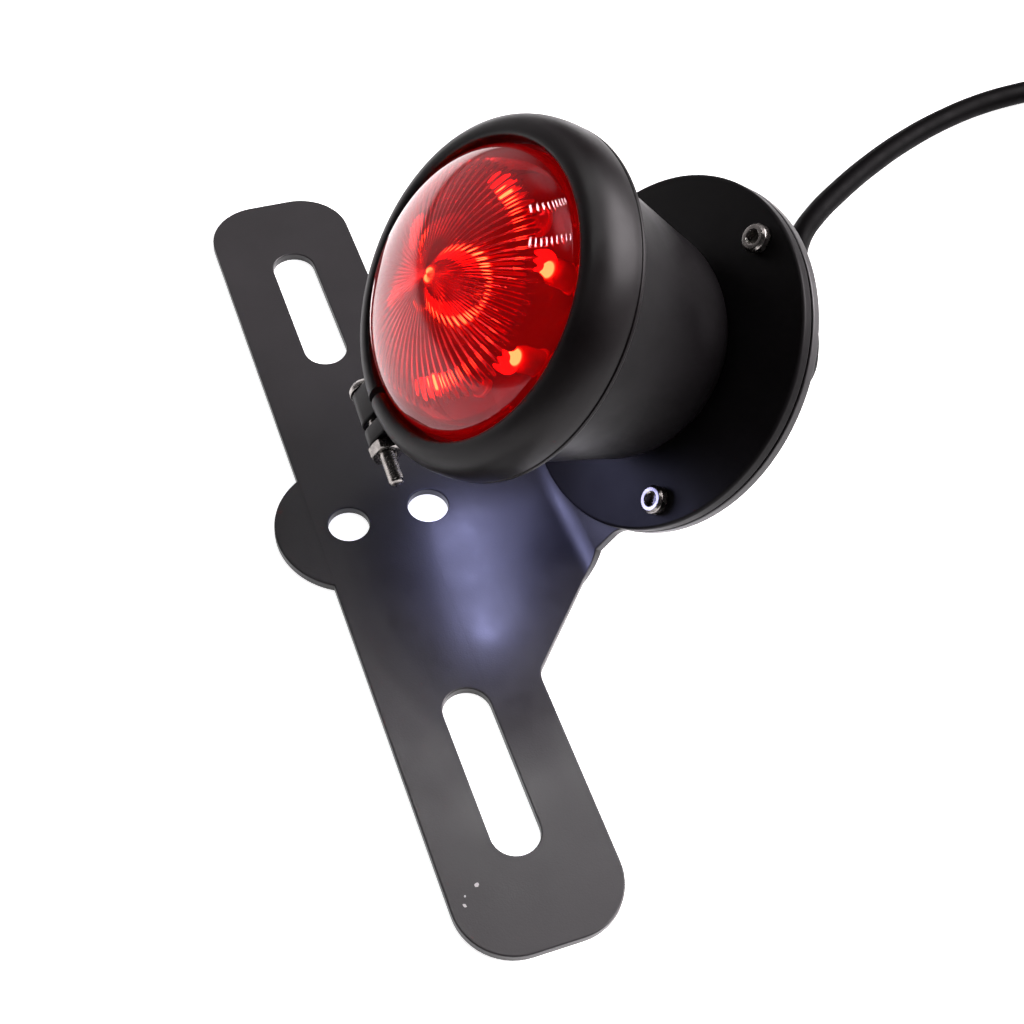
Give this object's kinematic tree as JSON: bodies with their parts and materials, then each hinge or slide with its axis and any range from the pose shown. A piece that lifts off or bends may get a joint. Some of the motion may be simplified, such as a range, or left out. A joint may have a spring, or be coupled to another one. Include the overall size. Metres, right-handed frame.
{
  "type": "motorcycle tail light",
  "caption": "Round red LED tail light with a clamped black trim ring and a number plate lamp, on a bent steel bracket with plate slots, with its coiled cable.",
  "frame": {"origin": "the middle of the back face of the bracket's bar, between its two bolt holes", "axes": "+X along the bar, +Z out of its front face, +Y towards the bent-up end that carries the lamp"},
  "size_m": [0.195, 0.2986, 0.0884],
  "materials": {
    "bracket_paint": "satin black powder coat",
    "housing_paint": "satin black",
    "ring_paint": "satin black",
    "stainless": "bright",
    "lens_red": "clear, polished",
    "window_clear": "clear",
    "rubber_black": "matte",
    "tie_nylon": "satin",
    "circuit": "white solder mask",
    "led_red": "lit epoxy",
    "led_white": "lit",
    "cable_sheath": "satin",
    "core_red": "satin",
    "core_black": "satin",
    "core_yellow": "satin",
    "brass": "crimped, dull"
  },
  "bodies": {
    "base": {"bracket": "bracket_paint", "housing": "housing_paint", "flange_screw_0": "stainless", "flange_screw_1": "stainless", "flange_screw_2": "stainless", "flange_nut_0": "stainless", "flange_nut_1": "stainless", "flange_nut_2": "stainless", "board_screw_0": "stainless", "board_screw_1": "stainless", "board_screw_2": "stainless", "plate_window": "window_clear", "lens_gasket": "rubber_black", "cable_grommet": "rubber_black", "cable_sleeve": "rubber_black", "coil_tie_0": "tie_nylon", "coil_tie_1": "tie_nylon", "led_board": "circuit", "plate_led_board": "circuit", "red_led_0": "led_red", "red_led_1": "led_red", "red_led_2": "led_red", "red_led_3": "led_red", "red_led_4": "led_red", "red_led_5": "led_red", "red_led_6": "led_red", "white_led_0": "led_white", "white_led_1": "led_white", "white_led_2": "led_white", "inner_cable": "cable_sheath", "cable": "cable_sheath", "cable_coil": "cable_sheath", "inner_wire_0": "core_red", "core_0": "core_red", "inner_wire_1": "core_black", "core_1": "core_black", "inner_wire_2": "core_yellow", "core_2": "core_yellow", "bullet_0": "brass", "bullet_1": "brass", "bullet_2": "brass"},
    "lens_ring": {"trim_ring": "ring_paint", "lens": "lens_red", "clamp_nut": "stainless"},
    "clamp_screw": {"clamp_screw": "stainless"}
  },
  "joints": [
    {"name": "lens_ring_lift_off", "type": "slide", "parent": "base", "child": "lens_ring", "axis": [0, -0.8192, 0.5736], "range_m": [0, 0.03]},
    {"name": "clamp_screw_turn", "type": "hinge", "parent": "lens_ring", "child": "clamp_screw", "pos_m": [-0.0043, -0.00259, 0.0291], "axis": [0.999, -0.026, -0.0372], "continuous": true}
  ]
}
